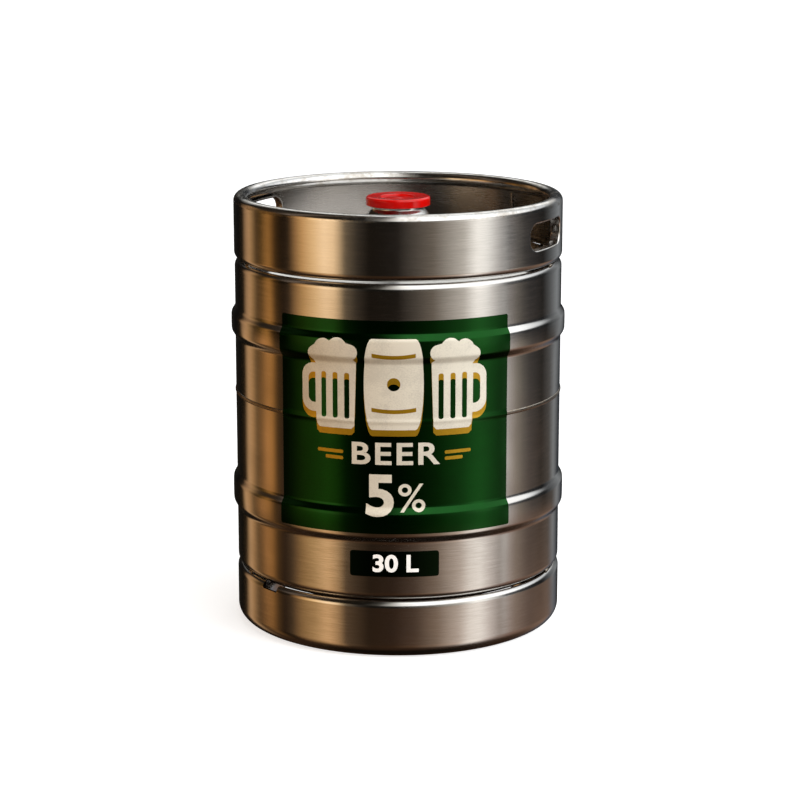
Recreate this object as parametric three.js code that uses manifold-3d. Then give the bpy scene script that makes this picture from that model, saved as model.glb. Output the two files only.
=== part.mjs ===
// A 30 litre stainless steel beer keg with its valve assembly (the spear), transit cap and labels.
// Millimetres, +Z up. The origin is on the floor on the keg's axis. The labelled front faces -Y,
// and an azimuth is counted from the front, in degrees, growing towards +X.

import * as THREE from 'three';
import { mergeVertices } from 'three/addons/utils/BufferGeometryUtils.js';
import Module from 'manifold-3d';

const wasm = await Module();
wasm.setup();

// Driving dimensions of the vessel
const KEG_HEIGHT = 440;
const BODY_RADIUS = 166;
const BODY_SHEET = 1.5;
const BEAD_RISE = 4;
const UPPER_BEAD = { z: 311, half: 15.5 };
const LOWER_BEAD = { z: 136.5, half: 18.5 };
const GIRTH_WELD_Z = 239.5;
const UPPER_SHOULDER_Z = 367;
const LOWER_SHOULDER_Z = 67.3;
const SHOULDER_RADIUS = 8;
const SHOULDER_SWEEP = 63.5;
const DOME_RADIUS = 362.1;
const NECK_HOLE_RADIUS = 34.3;

// Driving dimensions of the two chimes, the protective rings above and below the vessel
const CHIME_RADIUS = 166.5;
const CHIME_SHEET = 2.5;
const CHIME_EDGE_RADIUS = 7;
const CHIME_EDGE_SWEEP = 63;
const TOP_CHIME_EDGE_Z = 382.2;
const BOTTOM_CHIME_EDGE_Z = 52.1;
const RIM_RADIUS = 7.2;
const FOOT_RADIUS = 14;
const FOOT_RING = { inner: 146, curl: 8, curlTop: 13 };
const HAND_HOLE = { width: 75, height: 26.5, z: 408, azimuths: [64, 244], lip: 2.6 };
const DRAIN_NOTCH = { width: 23, bottom: 52.5, top: 66, azimuths: [-51.3, 128.7] };

// Driving dimensions of the neck and the spear that it holds
const NECK_BORE = 24;
const NECK_TOP = 432.5;
const LEDGE_Z = 414.5;
const LEDGE_BORE = 20.5;
const O_RING = { radius: 22, section: 1.45, z: 416.1 };
const SEAT_Z = 411;
const TUBE_RADIUS = 8;
const TUBE_BORE = 6.9;
const TUBE_BOTTOM = 36;
const CUP_RADIUS = 13.5;
const BALL = { radius: 10.2, z: 399.45 };
const GAS_SPRING = { radius: 15.4, wire: 0.9, bottom: 351.5, top: 401.5, turns: 5.5 };
const BEER_SPRING = { radius: 8.4, wire: 0.6, bottom: 371.5, top: 391.8, turns: 4.5 };

// Driving dimensions of the cap and the labels
const CAP_RADIUS = 32.75;
const CAP_TOP = 435.8;
const LABEL_GAP = 0.3;
const LABEL_SHEET = 0.3;
const MAIN_LABEL = { bottom: 128.5, top: 338.6, width: 219.2, corner: 2, azimuth: -1.4 };
const VOLUME_LABEL = { bottom: 84.1, top: 110, width: 87, corner: 3, azimuth: -1.2 };

const RING_SIDES = 36;
const SMALL_SIDES = 24;

const radians = THREE.MathUtils.degToRad;
const point = (r, z) => new THREE.Vector2(r, z);

// Points of an arc in the radius and height plane, angles in degrees from the outward direction
function arc(centreR, centreZ, radius, from, to, steps) {
  const points = [];
  for (let i = 0; i <= steps; i++) {
    const angle = radians(from + ((to - from) * i) / steps);
    points.push(point(centreR + radius * Math.cos(angle), centreZ + radius * Math.sin(angle)));
  }
  return points;
}

// A solid of revolution about Z. The outline runs up its outer side and down its inner side.
function revolve(outline, sides = RING_SIDES) {
  const first = outline[0];
  const last = outline[outline.length - 1];
  const onAxis = first.x === 0 && last.x === 0;
  const closed = onAxis ? outline : [...outline, first.clone()];
  const geometry = new THREE.LatheGeometry(closed, sides);
  geometry.rotateX(Math.PI / 2);
  return geometry;
}

function toSolid(geometry) {
  const bare = geometry.clone();
  bare.deleteAttribute('normal');
  bare.deleteAttribute('uv');
  const merged = mergeVertices(bare, 1e-4);
  const mesh = new wasm.Mesh({
    numProp: 3,
    vertProperties: new Float32Array(merged.attributes.position.array),
    triVerts: new Uint32Array(merged.index.array),
  });
  return new wasm.Manifold(mesh);
}

function toGeometry(solid) {
  const mesh = solid.getMesh();
  const geometry = new THREE.BufferGeometry();
  geometry.setAttribute('position', new THREE.BufferAttribute(mesh.vertProperties, 3));
  geometry.setIndex(new THREE.BufferAttribute(mesh.triVerts, 1));
  geometry.computeVertexNormals();
  return geometry;
}

// A round-cornered block through the wall at an azimuth, from one radius out to another
function wallBlock({ width, height, corner, z, azimuth, from, to }) {
  const x = width / 2 - corner;
  const y = height / 2 - corner;
  const shape = new THREE.Shape();
  shape.absarc(x, y, corner, 0, Math.PI / 2);
  shape.absarc(-x, y, corner, Math.PI / 2, Math.PI);
  shape.absarc(-x, -y, corner, Math.PI, Math.PI * 1.5);
  shape.absarc(x, -y, corner, Math.PI * 1.5, Math.PI * 2);
  const block = new THREE.ExtrudeGeometry(shape, { depth: to - from, bevelEnabled: false, curveSegments: 3 });
  block.translate(0, 0, from);
  block.rotateX(Math.PI / 2);
  block.rotateZ(radians(azimuth));
  block.translate(0, 0, z);
  return toSolid(block);
}

// A coil spring with round wire, standing on the axis
class CoilPath extends THREE.Curve {
  constructor({ radius, bottom, top, turns }) {
    super();
    Object.assign(this, { radius, bottom, top, turns });
  }

  getPoint(t, target = new THREE.Vector3()) {
    const angle = 2 * Math.PI * this.turns * t;
    const z = this.bottom + (this.top - this.bottom) * t;
    return target.set(this.radius * Math.cos(angle), this.radius * Math.sin(angle), z);
  }
}

function coilSpring(spring, stepsPerTurn, wireSides) {
  const section = new THREE.Shape();
  section.setFromPoints(arc(0, 0, spring.wire, 0, 360 * (1 - 1 / wireSides), wireSides - 1));
  const steps = Math.round(spring.turns * stepsPerTurn);
  return new THREE.ExtrudeGeometry(section, { extrudePath: new CoilPath(spring), steps, bevelEnabled: false });
}

// Heights along the body wall at which its radius is sampled: the rolling beads and the girth weld
function beadHeights(bead, steps = 4) {
  return Array.from({ length: steps + 1 }, (_, i) => bead.z - bead.half + (2 * bead.half * i) / steps);
}

function beadRise(z, bead) {
  const u = (z - bead.z) / bead.half;
  return Math.abs(u) < 1 ? (BEAD_RISE * (1 + Math.cos(Math.PI * u))) / 2 : 0;
}

function wallRadius(z) {
  return BODY_RADIUS + beadRise(z, UPPER_BEAD) + beadRise(z, LOWER_BEAD);
}

// The rounded shoulder and the dome from the body wall inwards: side 1 is the top, -1 the bottom
function endOutline(shoulderZ, side, inset, domeEdgeRadius) {
  const domeCentreZ = shoulderZ + side * (SHOULDER_RADIUS - DOME_RADIUS) * Math.sin(radians(SHOULDER_SWEEP));
  const centreR = BODY_RADIUS - SHOULDER_RADIUS;
  const edgeAngle = THREE.MathUtils.radToDeg(Math.acos(domeEdgeRadius / (DOME_RADIUS - inset)));
  const shoulder = arc(centreR, shoulderZ, SHOULDER_RADIUS - inset, 0, side * SHOULDER_SWEEP, 2);
  const dome = arc(0, domeCentreZ, DOME_RADIUS - inset, side * SHOULDER_SWEEP, side * edgeAngle, 4);
  if (domeEdgeRadius === 0) {
    dome[dome.length - 1].x = 0;
  }
  return [...shoulder, ...dome.slice(1)];
}

function halfShell(bead, shoulderZ, side, domeEdgeRadius) {
  const weldEdge = GIRTH_WELD_Z + side * 1.6;
  const skin = (inset) => {
    const wall = [point(BODY_RADIUS - inset, weldEdge)];
    const heights = side > 0 ? beadHeights(bead) : beadHeights(bead).reverse();
    heights.forEach((z) => wall.push(point(wallRadius(z) - inset, z)));
    return [...wall, ...endOutline(shoulderZ, side, inset, domeEdgeRadius)];
  };
  const outer = skin(0);
  const inner = skin(BODY_SHEET);
  const outline = side > 0 ? [...outer, ...inner.reverse()] : [...outer.reverse(), ...inner];
  return revolve(outline);
}

function girthWeld() {
  const root = BODY_RADIUS - BODY_SHEET;
  const crown = BODY_RADIUS + 0.6;
  const z = GIRTH_WELD_Z;
  return revolve([
    point(root, z - 1.3),
    point(BODY_RADIUS, z - 1.3),
    point(crown, z - 0.5),
    point(crown, z + 0.5),
    point(BODY_RADIUS, z + 1.3),
    point(root, z + 1.3),
  ]);
}

// The chime's edge next to the vessel curls in towards the weld: side 1 curls up, -1 curls down
function chimeEdge(edgeZ, side, inset) {
  const centreR = CHIME_RADIUS - CHIME_EDGE_RADIUS;
  return arc(centreR, edgeZ, CHIME_EDGE_RADIUS - inset, side * CHIME_EDGE_SWEEP, 0, 2);
}

function topChime() {
  const rimR = CHIME_RADIUS - RIM_RADIUS;
  const rimZ = KEG_HEIGHT - RIM_RADIUS;
  const rimSweep = 290;
  const ring = toSolid(revolve([
    ...chimeEdge(TOP_CHIME_EDGE_Z, -1, 0),
    ...arc(rimR, rimZ, RIM_RADIUS, 0, 90, 2),
    ...arc(rimR, rimZ, RIM_RADIUS, 90, rimSweep, 4).slice(1),
    ...arc(rimR, rimZ, RIM_RADIUS - CHIME_SHEET, rimSweep, 0, 4),
    ...chimeEdge(TOP_CHIME_EDGE_Z, -1, CHIME_SHEET).reverse(),
  ]));
  const hole = { corner: HAND_HOLE.height / 2 - 0.05, width: HAND_HOLE.width, height: HAND_HOLE.height };
  const lipGrowth = 2 * HAND_HOLE.lip;
  let chime = ring;
  for (const azimuth of HAND_HOLE.azimuths) {
    const lip = wallBlock({
      width: hole.width + lipGrowth,
      height: hole.height + lipGrowth,
      corner: hole.corner + HAND_HOLE.lip,
      z: HAND_HOLE.z,
      azimuth,
      from: 140,
      to: CHIME_RADIUS,
    });
    const band = toSolid(revolve([
      point(157, TOP_CHIME_EDGE_Z),
      point(CHIME_RADIUS - 1, TOP_CHIME_EDGE_Z),
      point(CHIME_RADIUS - 1, rimZ),
      point(157, rimZ),
    ]));
    const cut = wallBlock({ ...hole, z: HAND_HOLE.z, azimuth, from: 130, to: 180 });
    chime = chime.add(lip.intersect(band)).subtract(cut);
  }
  return toGeometry(chime);
}

function bottomChime() {
  const footR = CHIME_RADIUS - FOOT_RADIUS;
  const { inner, curl, curlTop } = FOOT_RING;
  let chime = toSolid(revolve([
    point(inner - curl, curlTop),
    ...arc(inner, curl, curl, 180, 270, 2),
    ...arc(footR, FOOT_RADIUS, FOOT_RADIUS, -90, 0, 4),
    ...chimeEdge(BOTTOM_CHIME_EDGE_Z, 1, 0).reverse(),
    ...chimeEdge(BOTTOM_CHIME_EDGE_Z, 1, CHIME_SHEET),
    ...arc(footR, FOOT_RADIUS, FOOT_RADIUS - CHIME_SHEET, 0, -90, 3),
    ...arc(inner, curl, curl - CHIME_SHEET, 270, 180, 1),
    point(inner - curl + CHIME_SHEET, curlTop),
  ]));
  const { width, bottom, top, azimuths } = DRAIN_NOTCH;
  for (const azimuth of azimuths) {
    const notch = { width, height: top - bottom, corner: 3, z: (bottom + top) / 2 };
    chime = chime.subtract(wallBlock({ ...notch, azimuth, from: 140, to: 180 }));
  }
  return toGeometry(chime);
}

// The weld between a dome and its chime, with the stitches that fill the groove beside the hand holes
function chimeWeld(shoulderZ, side) {
  const section = (rows) => revolve(side > 0 ? rows : [...rows].reverse());
  const at = (r, rise) => point(r, shoulderZ + side * rise);
  const bead = toSolid(section([at(158.8, 8.9), at(161.3, 7.75), at(162.1, 8.3), at(161, 10), at(159, 10.2)]));
  const fill = toSolid(section([at(160.6, 8.5), at(163.6, 6.3), at(164.2, 7.6), at(163.4, 8.5), at(161.6, 8.6)]));
  let weld = bead;
  for (const azimuth of [-67, 69, 113, 247]) {
    const size = { width: 7, height: 12, corner: 2, azimuth, from: 150, to: 175 };
    const stitch = wallBlock({ ...size, z: shoulderZ + side * 8 });
    weld = weld.add(fill.intersect(stitch));
  }
  return toGeometry(weld);
}

// The strip of weld that closes a rolled chime, on its inner wall
function chimeSeam(azimuth, bottom, top) {
  const strip = { width: 5, height: top - bottom, corner: 1.5, z: (bottom + top) / 2 };
  return toGeometry(wallBlock({ ...strip, azimuth, from: CHIME_RADIUS - 4, to: CHIME_RADIUS - 3.35 }));
}

function neckSocket() {
  const flangeR = NECK_HOLE_RADIUS - 0.8;
  return revolve([
    point(LEDGE_BORE, 409),
    point(flangeR, 409),
    point(flangeR, 416.3),
    point(31.6, 417.2),
    point(31, 418.6),
    point(28, 422.4),
    point(27, 424.2),
    point(27, 427),
    point(29.4, 428.2),
    point(29.6, 431.7),
    point(28.8, NECK_TOP),
    point(NECK_BORE + 0.8, NECK_TOP),
    point(NECK_BORE, 431.7),
    point(NECK_BORE, 426.9),
    point(NECK_BORE + 1.6, 426.9),
    point(NECK_BORE + 1.6, 424.4),
    point(NECK_BORE, 424.4),
    point(NECK_BORE, LEDGE_Z),
    point(LEDGE_BORE, LEDGE_Z),
  ], SMALL_SIDES);
}

function neckWeld() {
  return revolve([
    point(33.8, 411),
    point(37, 410.7),
    point(37.3, 411.2),
    point(35.4, 412.8),
    point(33.8, 413.8),
  ], SMALL_SIDES);
}

// The fixed part of the spear: a flange that rests in the neck, the gas valve's seat and a cage
function spearHousing() {
  const outerR = LEDGE_BORE - 0.5;
  const cageBore = 18;
  const retainerBore = 15.8;
  let housing = toSolid(revolve([
    point(retainerBore, 344),
    point(outerR, 344),
    point(outerR, 417.9),
    point(NECK_BORE - 0.3, 417.9),
    point(NECK_BORE - 0.3, 424.1),
    point(20.6, 424.1),
    point(19.2, 422),
    point(19.2, 415),
    point(13.5, 413.2),
    point(13, 412.4),
    point(13, SEAT_Z),
    point(cageBore, SEAT_Z),
    point(cageBore, 346.7),
    point(retainerBore, 346.7),
  ], SMALL_SIDES));
  for (const azimuth of [30, 150, 270]) {
    const window = { width: 14, height: 42, corner: 6, z: 380, azimuth, from: 10, to: 30 };
    housing = housing.subtract(wallBlock(window));
  }
  return toGeometry(housing);
}

function retainingRing() {
  const ring = toSolid(revolve([
    point(22.4, 424.7),
    point(25.2, 424.7),
    point(25.2, 426.5),
    point(22.4, 426.5),
  ], SMALL_SIDES));
  const gap = wallBlock({ width: 8, height: 6, corner: 0.5, z: 425.6, azimuth: 95, from: 15, to: 30 });
  return toGeometry(ring.subtract(gap));
}

function springRetainer() {
  return revolve([point(9.2, 347.1), point(17.6, 347.1), point(17.6, 350.1), point(9.2, 350.1)], SMALL_SIDES);
}

// The rubber ring that seals the gas way against the seat and the beer way against the ball
function gasValveSeal() {
  return revolve([
    point(8.6, 405.3),
    point(16.6, 405.3),
    point(16.6, 409.6),
    point(15.8, 410.7),
    point(12.4, 410.7),
    point(11.8, 413),
    point(9.6, 413),
    point(8.6, 411.6),
  ], SMALL_SIDES);
}

// The dip tube down to the sump, with the cup at its head that carries the seal and holds the ball
function downTube() {
  return revolve([
    point(TUBE_BORE, TUBE_BOTTOM),
    point(TUBE_RADIUS, TUBE_BOTTOM),
    point(TUBE_RADIUS, 366),
    point(CUP_RADIUS, 373),
    point(CUP_RADIUS, 402.9),
    point(16.6, 402.9),
    point(16.6, 405),
    point(CUP_RADIUS - 1.3, 405),
    point(CUP_RADIUS - 1.3, 374),
    point(TUBE_BORE, 367.2),
  ], 20);
}

function beerValveBall() {
  const outline = arc(0, BALL.z, BALL.radius, -90, 90, 8);
  outline[0].x = 0;
  outline[outline.length - 1].x = 0;
  return revolve(outline, 16);
}

// The plastic transit cap: a skirt over the neck's flange, a plug ring in its bore, a dished top
function dustCap() {
  const underside = NECK_TOP + 0.5;
  const edge = 2.4;
  return revolve([
    point(0, underside),
    point(21, underside),
    point(21, 428.6),
    point(22.8, 428.6),
    point(22.8, underside),
    point(30.2, underside),
    point(30.2, 426.8),
    point(32, 426.8),
    point(CAP_RADIUS, 427.6),
    ...arc(CAP_RADIUS - edge, CAP_TOP - edge, edge, 0, 90, 3),
    point(18, CAP_TOP - 0.4),
    point(17, CAP_TOP - 1.2),
    point(0, CAP_TOP - 1.4),
  ], SMALL_SIDES);
}

// A printed film wrapped round the body: a thin shell that follows the beads and the girth weld
function bodyLabel({ bottom, top, width, corner, azimuth }) {
  const bands = [...beadHeights(LOWER_BEAD), ...beadHeights(UPPER_BEAD)];
  const weldSteps = [-3, -1.4, 1.4, 3].map((rise) => GIRTH_WELD_Z + rise);
  const inside = [...bands, ...weldSteps].filter((z) => z > bottom && z < top);
  const heights = [bottom - 1, ...inside, top + 1].sort((a, b) => a - b);
  const layer = (gap) => heights.map((z) => {
    const weldRise = Math.abs(z - GIRTH_WELD_Z) < 2 ? 0.7 : 0;
    return point(wallRadius(z) + weldRise + gap, z);
  });
  const outer = layer(LABEL_GAP + LABEL_SHEET);
  const inner = layer(LABEL_GAP).reverse();
  const film = toSolid(revolve([...outer, ...inner]));
  const outline = { width, height: top - bottom, corner, z: (bottom + top) / 2, azimuth };
  return toGeometry(film.intersect(wallBlock({ ...outline, from: 100, to: 180 })));
}

const STEEL = { color: 0xb8b2a8, roughness: 0.3, metalness: 1 };
const POLISHED = { color: 0xc9c6c0, roughness: 0.18, metalness: 1 };
const WELD = { color: 0x9c968c, roughness: 0.42, metalness: 1 };
const SPRING_STEEL = { color: 0xa9a7a2, roughness: 0.3, metalness: 1 };
const RUBBER = { color: 0x17181a, roughness: 0.65, metalness: 0 };
const RED_PLASTIC = { color: 0xd9120c, roughness: 0.3, metalness: 0 };
const GREEN_FILM = { color: 0x12491d, roughness: 0.35, metalness: 0 };
const DARK_FILM = { color: 0x0b1a14, roughness: 0.4, metalness: 0 };

const pieces = [
  ['upper_shell', halfShell(UPPER_BEAD, UPPER_SHOULDER_Z, 1, NECK_HOLE_RADIUS), STEEL],
  ['lower_shell', halfShell(LOWER_BEAD, LOWER_SHOULDER_Z, -1, 0), STEEL],
  ['girth_weld', girthWeld(), WELD],
  ['top_chime', topChime(), STEEL],
  ['bottom_chime', bottomChime(), STEEL],
  ['top_chime_weld', chimeWeld(UPPER_SHOULDER_Z, 1), WELD],
  ['bottom_chime_weld', chimeWeld(LOWER_SHOULDER_Z, -1), WELD],
  ['top_chime_seam', chimeSeam(133, 389, 424), WELD],
  ['bottom_chime_seam', chimeSeam(-150, 17, 51), WELD],
  ['neck_socket', neckSocket(), POLISHED],
  ['neck_weld', neckWeld(), WELD],
  ['spear_housing', spearHousing(), POLISHED],
  ['housing_o_ring', revolve(arc(O_RING.radius, O_RING.z, O_RING.section, 0, 300, 5), SMALL_SIDES), RUBBER],
  ['retaining_ring', retainingRing(), SPRING_STEEL],
  ['spring_retainer', springRetainer(), POLISHED],
  ['gas_valve_seal', gasValveSeal(), RUBBER],
  ['down_tube', downTube(), POLISHED],
  ['gas_spring', coilSpring(GAS_SPRING, 10, 5), SPRING_STEEL],
  ['beer_valve_ball', beerValveBall(), POLISHED],
  ['beer_spring', coilSpring(BEER_SPRING, 9, 4), SPRING_STEEL],
  ['dust_cap', dustCap(), RED_PLASTIC],
  ['main_label', bodyLabel(MAIN_LABEL), GREEN_FILM],
  ['volume_label', bodyLabel(VOLUME_LABEL), DARK_FILM],
];

const keg = new THREE.Group();
for (const [name, geometry, finish] of pieces) {
  const mesh = new THREE.Mesh(geometry, new THREE.MeshStandardMaterial(finish));
  mesh.name = name;
  keg.add(mesh);
}

export default keg;
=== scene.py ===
import math

import bmesh
import bpy
import numpy as np
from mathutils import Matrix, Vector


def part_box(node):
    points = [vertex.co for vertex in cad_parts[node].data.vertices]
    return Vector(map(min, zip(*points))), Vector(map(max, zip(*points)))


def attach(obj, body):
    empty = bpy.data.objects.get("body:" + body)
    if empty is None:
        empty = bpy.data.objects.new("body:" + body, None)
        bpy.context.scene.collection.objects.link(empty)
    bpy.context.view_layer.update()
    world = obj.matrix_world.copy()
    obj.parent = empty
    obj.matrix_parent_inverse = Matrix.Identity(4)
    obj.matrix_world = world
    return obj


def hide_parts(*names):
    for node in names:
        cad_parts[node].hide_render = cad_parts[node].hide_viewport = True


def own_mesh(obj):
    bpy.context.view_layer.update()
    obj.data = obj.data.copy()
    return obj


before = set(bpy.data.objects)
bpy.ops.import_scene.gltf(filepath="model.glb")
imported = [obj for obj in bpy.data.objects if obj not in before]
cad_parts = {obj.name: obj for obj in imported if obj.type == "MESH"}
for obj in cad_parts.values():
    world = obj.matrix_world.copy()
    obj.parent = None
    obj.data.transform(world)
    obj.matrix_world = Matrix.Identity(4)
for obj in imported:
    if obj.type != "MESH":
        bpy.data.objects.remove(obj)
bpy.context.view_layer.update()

bl_info = {
    "name": "Steel beer keg",
    "version": (1, 0, 0),
    "blender": (4, 5, 0),
    "location": "3D Viewport > Sidebar > Keg",
    "description": "Builds the fine surfaces, labels and studio of a 30 litre keg round its packed frame",
    "category": "Add Mesh",
}

MM = 0.001


def box_mm(node):
    """The lowest and highest corners of a CAD node, in millimetres"""
    low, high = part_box(node)
    return np.array(low) / MM, np.array(high) / MM


BEAD_RADIUS = box_mm("upper_shell")[1][0]
CHIME_RADIUS = box_mm("top_chime")[1][0]
KEG_HEIGHT = box_mm("top_chime")[1][2]
CAP_LOW, CAP_HIGH = box_mm("dust_cap")
MAIN_LOW, MAIN_HIGH = box_mm("main_label")
VOLUME_LOW, VOLUME_HIGH = box_mm("volume_label")


def linear(code):
    """An sRGB hex colour as linear RGBA"""
    parts = [int(code[i:i + 2], 16) / 255 for i in (1, 3, 5)]
    return [c / 12.92 if c <= 0.04045 else ((c + 0.055) / 1.055) ** 2.4 for c in parts] + [1.0]


# ---------------------------------------------------------------- settings


def length(name, description, default_mm):
    return bpy.props.FloatProperty(
        name=name, description=description, default=default_mm * MM, subtype="DISTANCE", unit="LENGTH")


def angle(name, description, degrees):
    return bpy.props.FloatProperty(
        name=name, description=description, default=math.radians(degrees), subtype="ANGLE", unit="ROTATION")


def plain(name, description, value):
    return bpy.props.FloatProperty(name=name, description=description, default=value, min=0)


def colour(name, description, code):
    return bpy.props.FloatVectorProperty(
        name=name, description=description, default=linear(code), size=4, subtype="COLOR", min=0, max=1)


class KegVesselSizes(bpy.types.PropertyGroup):
    """Sizes of the pressure vessel"""

    body_radius: length("Body radius", "Outside radius of the plain wall", BEAD_RADIUS - 4)
    bead_rise: length("Bead rise", "How far a rolling bead stands out of the wall", 4)
    upper_bead: length("Upper bead", "Height of the upper rolling bead", 311)
    upper_half: length("Upper bead half", "Half the height of the upper bead", 15.5)
    lower_bead: length("Lower bead", "Height of the lower rolling bead", 136.5)
    lower_half: length("Lower bead half", "Half the height of the lower bead", 18.5)
    girth_weld: length("Girth weld", "Height of the weld between the two shells", 239.5)
    upper_shoulder: length("Upper shoulder", "Height where the wall turns into the top dome", 367)
    lower_shoulder: length("Lower shoulder", "Height where the wall turns into the bottom dome", 67.3)
    shoulder_radius: length("Shoulder radius", "Radius of the turn from wall to dome", 8)
    dome_radius: length("Dome radius", "Radius of the two domes", 362.1)
    sheet: length("Sheet", "Thickness of the vessel's sheet", 1.5)
    neck_hole: length("Neck hole", "Radius of the hole in the top dome", 34.3)


class KegChimeSizes(bpy.types.PropertyGroup):
    """Sizes of the top and bottom chimes"""

    radius: length("Radius", "Outside radius of both chimes", CHIME_RADIUS)
    sheet: length("Sheet", "Thickness of the chimes' sheet", 2.5)
    edge_radius: length("Edge radius", "Radius of the edge that turns in to the vessel", 7)
    top_edge: length("Top chime edge", "Height where the top chime's wall turns in", 382.2)
    bottom_edge: length("Bottom chime edge", "Height where the bottom chime's wall turns in", 52.1)
    rim_radius: length("Rim radius", "Radius of the rolled top rim", 7.2)
    foot_radius: length("Foot radius", "Radius of the foot's outer corner", 14)
    hand_hole_width: length("Hand hole width", "Width of a hand hole along the wall", 75)
    hand_hole_height: length("Hand hole height", "Height of a hand hole", 26.5)
    hand_hole_level: length("Hand hole level", "Height of the hand holes' centre", 408)
    hand_hole_azimuth: angle("Hand hole azimuth", "Where the right hand hole lies, from the front", 64)
    notch_width: length("Drain notch width", "Width of a drain notch along the wall", 23)
    notch_azimuth: angle("Drain notch azimuth", "Where the front drain notch lies, from the front", -51.3)


class KegColours(bpy.types.PropertyGroup):
    """Colours of the steel, the cap and the labels"""

    steel_dark: colour("Steel, dark", "Brushed steel where the grit bit deepest", "#C9C8C5")
    steel_light: colour("Steel, light", "Brushed steel on its smoother streaks", "#D4D3D1")
    polished: colour("Polished steel", "Rolled edges and machined fittings", "#D6D5D3")
    weld: colour("Weld", "Weld beads", "#A39C92")
    cap: colour("Cap", "Transit cap", "#DA0B06")
    film_green: colour("Main film", "Ground of the main label", "#04400B")
    film_dark: colour("Volume film", "Ground of the volume label", "#0C2A14")
    cream: colour("Cream ink", "Emblem and lettering", "#EFEADA")
    gold: colour("Gold ink", "Bars and drop edge", "#C2971E")
    white: colour("White ink", "Volume lettering", "#FFFFFD")
    rubber: colour("Rubber", "Seals", "#141414")


class KegStudio(bpy.types.PropertyGroup):
    """Camera, floor and lamps"""

    camera_distance: length("Camera distance", "From the keg's axis to the lens, along the floor", 2526)
    camera_height: length("Camera height", "From the floor to the lens", 792)
    camera_pitch: angle("Camera pitch", "How far the camera looks down", 12.67)
    lens: plain("Lens", "Focal length in millimetres", 113.2)
    floor: colour("Floor", "Studio floor", "#D3D5D8")
    key_power: plain("Key power", "Watts of the key lamp", 12.0)
    warm_power: plain("Warm power", "Watts of the warm lamp", 5.0)


SETTINGS = {
    "keg_vessel": KegVesselSizes,
    "keg_chimes": KegChimeSizes,
    "keg_colours": KegColours,
    "keg_studio": KegStudio,
}


def sizes_mm(group):
    """The lengths of a settings group in millimetres and its angles in degrees, by name"""
    values = {}
    for name, prop in group.bl_rna.properties.items():
        if prop.type == "FLOAT" and not prop.is_array:
            value = getattr(group, name)
            if prop.unit == "LENGTH":
                value /= MM
            if prop.unit == "ROTATION":
                value = math.degrees(value)
            values[name] = value
    return values


# ---------------------------------------------------------------- outlines, in millimetres


def arc(centre, radius, start, end, steps):
    """Points of an arc in the radius and height plane, in degrees from the outward direction"""
    turn = np.radians(np.linspace(start, end, steps + 1))
    return [(centre[0] + radius * math.cos(a), centre[1] + radius * math.sin(a)) for a in turn]


def line(start, end, step):
    """Points along a straight stretch, with a close one at each end to keep its shading flat"""
    start, end = np.array(start, float), np.array(end, float)
    run = np.linalg.norm(end - start)
    count = max(1, round(run / step))
    marks = {0.0, 1.0, *np.linspace(0, 1, count + 1)}
    if run > 2:
        marks |= {0.4 / run, 1 - 0.4 / run}
    return [tuple(start + (end - start) * m) for m in sorted(marks)]


def join(*stretches):
    """One outline from several stretches, leaving out points that repeat"""
    points = []
    for p in (p for stretch in stretches for p in stretch):
        if not points or math.dist(points[-1], p) > 1e-6:
            points.append(tuple(p))
    return points


def rounded(corners, radius, steps=4):
    """A closed outline through corners, each one rounded as far as its sides allow"""
    points = []
    count = len(corners)
    for i in range(count):
        before, here, after = (np.array(corners[j % count], float) for j in (i - 1, i, i + 1))
        into, out = before - here, after - here
        reach = min(radius, 0.45 * np.linalg.norm(into), 0.45 * np.linalg.norm(out))
        a, b = here + into / np.linalg.norm(into) * reach, here + out / np.linalg.norm(out) * reach
        for t in np.linspace(0, 1, steps + 1):
            points.append(tuple((1 - t) ** 2 * a + 2 * t * (1 - t) * here + t ** 2 * b))
    return points


def bead(z, centre, half, rise):
    """How far a rolling bead stands out at a height: a short flank either side of a flat crown"""
    flank = 8.2
    inside = np.clip(half - abs(z - centre), 0, None)
    t = np.clip(inside / flank, 0, 1)
    crown = np.clip(inside / half, 0, 1)
    return rise * (0.84 * t * t * (3 - 2 * t) + 0.16 * crown * (2 - crown))


def wall_radius(v, z):
    """Outside radius of the body wall at a height"""
    upper = bead(z, v["upper_bead"], v["upper_half"], v["bead_rise"])
    return v["body_radius"] + upper + bead(z, v["lower_bead"], v["lower_half"], v["bead_rise"])


def wave(phi, z):
    """Hand-scale unevenness of rolled sheet, always inwards, in millimetres"""
    broad, middling = np.sin(3 * phi + z / 61), np.sin(7 * phi - z / 47 + 1.9)
    swell = broad + middling + 0.6 * np.sin(13 * phi + z / 23 + 0.7)
    return -0.05 * (2.6 + swell)


def end_outline(v, shoulder, side, inset, edge, steps):
    """The shoulder and dome from the wall inwards: side 1 is the top, -1 the bottom"""
    sweep = 63.5
    bend = v["shoulder_radius"]
    centre_z = shoulder + side * (bend - v["dome_radius"]) * math.sin(math.radians(sweep))
    dome = v["dome_radius"] - inset
    edge_angle = math.degrees(math.acos(edge / dome))
    return join(
        arc((v["body_radius"] - bend, shoulder), bend - inset, 0, side * sweep, steps),
        arc((0, centre_z), dome, side * sweep, side * edge_angle, steps * 2))


def shell_outline(v, side):
    """Closed outline of the upper (1) or lower (-1) half of the vessel"""
    shoulder = v["upper_shoulder"] if side > 0 else v["lower_shoulder"]
    edge = v["neck_hole"] if side > 0 else 0
    weld = v["girth_weld"] + side * 1.5

    def skin(inset, step, steps):
        heights = np.linspace(weld + side * 0.5, shoulder - side * 0.5, round(abs(shoulder - weld) / step))
        wall = [(wall_radius(v, z) - inset, z) for z in heights]
        return wall + end_outline(v, shoulder, side, inset, edge, steps)

    outer, inner = skin(0, 1.1, 20), skin(v["sheet"], 6, 6)
    outer = [(v["body_radius"] - 0.6, weld)] + outer
    outline = outer + inner[::-1]
    return outline if side > 0 else outline[::-1]


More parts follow.
